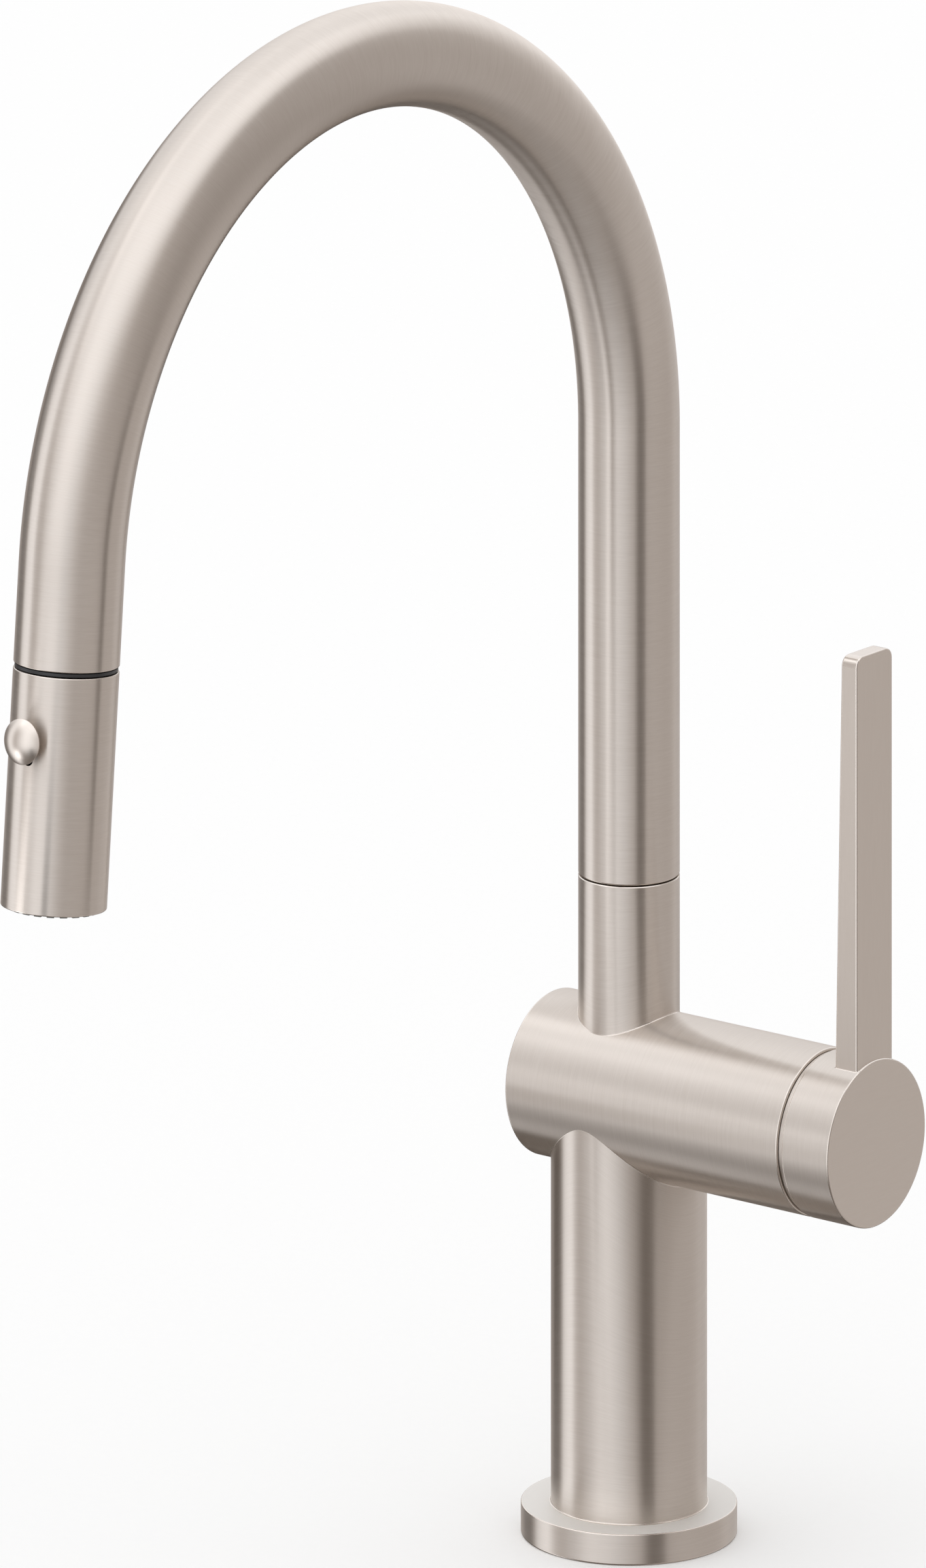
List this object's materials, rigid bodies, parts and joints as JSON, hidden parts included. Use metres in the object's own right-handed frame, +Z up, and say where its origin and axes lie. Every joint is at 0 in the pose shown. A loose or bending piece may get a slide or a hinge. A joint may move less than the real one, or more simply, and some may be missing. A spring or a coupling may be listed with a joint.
{
  "type": "pull-down kitchen faucet",
  "caption": "High-arc single-lever kitchen faucet with a side valve, a swivelling spout and a docked spray head that pulls down on its hose.",
  "frame": {"origin": "centre of the flange's underside, on the column's axis, where the faucet meets the deck", "axes": "+Z up along the column; the spout reaches towards -Y; the valve barrel and its handle point along +X"},
  "size_m": [0.1097, 0.2829, 0.4224],
  "materials": {
    "brushed_nickel": "fine circumferential brushing, satin",
    "brass": "machined",
    "steel": "plain stainless",
    "magnet": "nickel-plated ring magnet",
    "ceramic": "lapped alumina",
    "acetal": "natural white",
    "grey_plastic": "moulded grey",
    "black_plastic": "moulded black",
    "rubber": "black rubber",
    "hose_jacket": "braided nylon jacket"
  },
  "bodies": {
    "base": {"base_flange": "brushed_nickel", "base_gasket": "rubber", "base_insert": "brass", "body_casting": "brushed_nickel", "cold_supply_tube": "steel", "hot_supply_tube": "steel", "mixed_outlet_tube": "steel", "valve_body": "brass", "cartridge_seal": "rubber", "fixed_ceramic_disc": "ceramic", "cartridge_body": "acetal", "cartridge_nut": "brass", "bonnet_ring": "brushed_nickel", "swivel_post": "brass", "swivel_oring_lower": "rubber", "swivel_oring_upper": "rubber", "swivel_bush_lower": "acetal", "swivel_bush_upper": "acetal", "swivel_snap_ring": "steel", "spray_hose_column": "hose_jacket"},
    "handle": {"handle_hub": "brushed_nickel", "handle_lever": "brushed_nickel", "lever_stud": "steel", "hub_set_screw": "steel", "cartridge_stem": "brass", "moving_ceramic_disc": "ceramic"},
    "spout": {"spout_tube": "brushed_nickel", "swivel_sleeve": "brass", "spray_hose_spout": "hose_jacket", "dock_guide": "black_plastic", "dock_magnet": "magnet"},
    "hose_end": {"hose_tail": "hose_jacket", "hose_ferrule": "steel", "hose_stem": "brass"},
    "spray_head": {"head_shell": "brushed_nickel", "head_core": "grey_plastic", "head_magnet": "magnet", "hose_nut": "brass", "hose_washer": "rubber", "check_valve": "acetal", "face_seal": "rubber", "spray_face": "grey_plastic", "nozzle_ring": "rubber", "aerator_housing": "acetal", "aerator_insert": "grey_plastic"},
    "selector": {"selector_knob": "brushed_nickel", "selector_slider": "black_plastic", "diverter_spool": "acetal", "spool_oring": "rubber"}
  },
  "joints": [
    {"name": "spout_swivel", "type": "hinge", "parent": "base", "child": "spout", "pos_m": [0, 0, 0.174], "axis": [0, 0, 1], "range_deg": [-180, 180]},
    {"name": "handle_turn", "type": "hinge", "parent": "base", "child": "handle", "pos_m": [0.066, 0, 0.1172], "axis": [1, 0, 0], "range_deg": [0, 90]},
    {"name": "head_pull", "type": "slide", "parent": "spout", "child": "hose_end", "axis": [0, -0.0854, -0.9963], "range_m": [0, 0.2], "stiffness_N_per_m": 12, "springref_m": -0.5, "deforming": ["hose_tail"]},
    {"name": "head_spin", "type": "hinge", "parent": "hose_end", "child": "spray_head", "pos_m": [0, -0.23441, 0.27673], "axis": [0, -0.0854, -0.9963], "continuous": true},
    {"name": "knob_slide", "type": "slide", "parent": "spray_head", "child": "selector", "axis": [0, -0.0854, -0.9963], "range_m": [0, 0.0047]}
  ]
}
